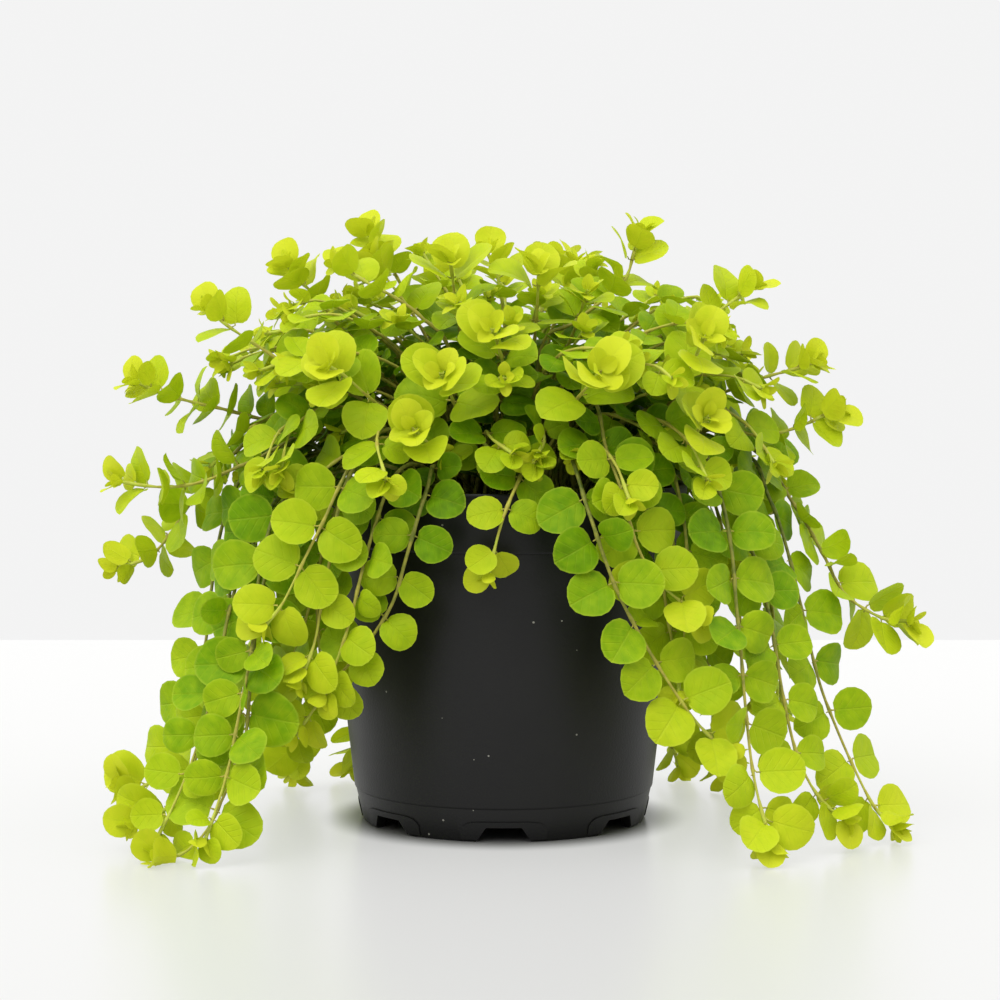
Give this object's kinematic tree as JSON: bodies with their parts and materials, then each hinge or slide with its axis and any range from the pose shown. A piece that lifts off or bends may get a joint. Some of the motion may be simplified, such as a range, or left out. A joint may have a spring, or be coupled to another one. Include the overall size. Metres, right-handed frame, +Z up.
{
  "type": "potted creeping jenny",
  "caption": "Golden creeping jenny in a plain black nursery pot: round leaves in opposite pairs on stems that mound over the soil and trail to the surface",
  "frame": {"origin": "on the pot's axis at the surface that the pot stands on", "axes": "+Z up along the pot's axis, -Y towards the viewer of the picture, +X to that viewer's right"},
  "size_m": [0.2709, 0.1775, 0.1995],
  "materials": {
    "black_plastic": "satin",
    "potting_soil": "matte",
    "leaf_green": "satin"
  },
  "bodies": {
    "root": {"pot": "black_plastic", "soil": "potting_soil", "arm_left": "leaf_green", "arm_left_upper": "leaf_green", "arm_right": "leaf_green", "back_shoulder_1": "leaf_green", "back_shoulder_2": "leaf_green", "back_shoulder_3": "leaf_green", "back_shoulder_4": "leaf_green", "back_shoulder_5": "leaf_green", "back_shoulder_6": "leaf_green", "back_shoulder_7": "leaf_green", "back_trail_1": "leaf_green", "back_trail_2": "leaf_green", "back_trail_3": "leaf_green", "back_trail_4": "leaf_green", "back_trail_5": "leaf_green", "back_trail_6": "leaf_green", "crown_1": "leaf_green", "crown_2": "leaf_green", "crown_3": "leaf_green", "crown_4": "leaf_green", "crown_5": "leaf_green", "front_left_big": "leaf_green", "rosette_left": "leaf_green", "rosette_low_left": "leaf_green", "rosette_middle": "leaf_green", "rosette_right": "leaf_green", "rosette_right_high": "leaf_green", "rosette_right_low": "leaf_green", "spray_left": "leaf_green", "spray_right": "leaf_green", "spray_right_low": "leaf_green", "spray_upper_left": "leaf_green", "tip_high_left": "leaf_green", "tip_right_high": "leaf_green", "tip_top_back": "leaf_green", "tip_top_left": "leaf_green", "tip_top_middle": "leaf_green", "tip_top_right": "leaf_green", "tip_upper_left": "leaf_green", "trail_front_left": "leaf_green", "trail_front_middle": "leaf_green", "trail_front_right": "leaf_green", "trail_left_back": "leaf_green", "trail_left_bright": "leaf_green", "trail_left_inner": "leaf_green", "trail_left_low": "leaf_green", "trail_left_outer": "leaf_green", "trail_right_inner": "leaf_green", "trail_right_long": "leaf_green", "trail_right_low": "leaf_green", "trail_right_outer": "leaf_green"}
  },
  "joints": []
}
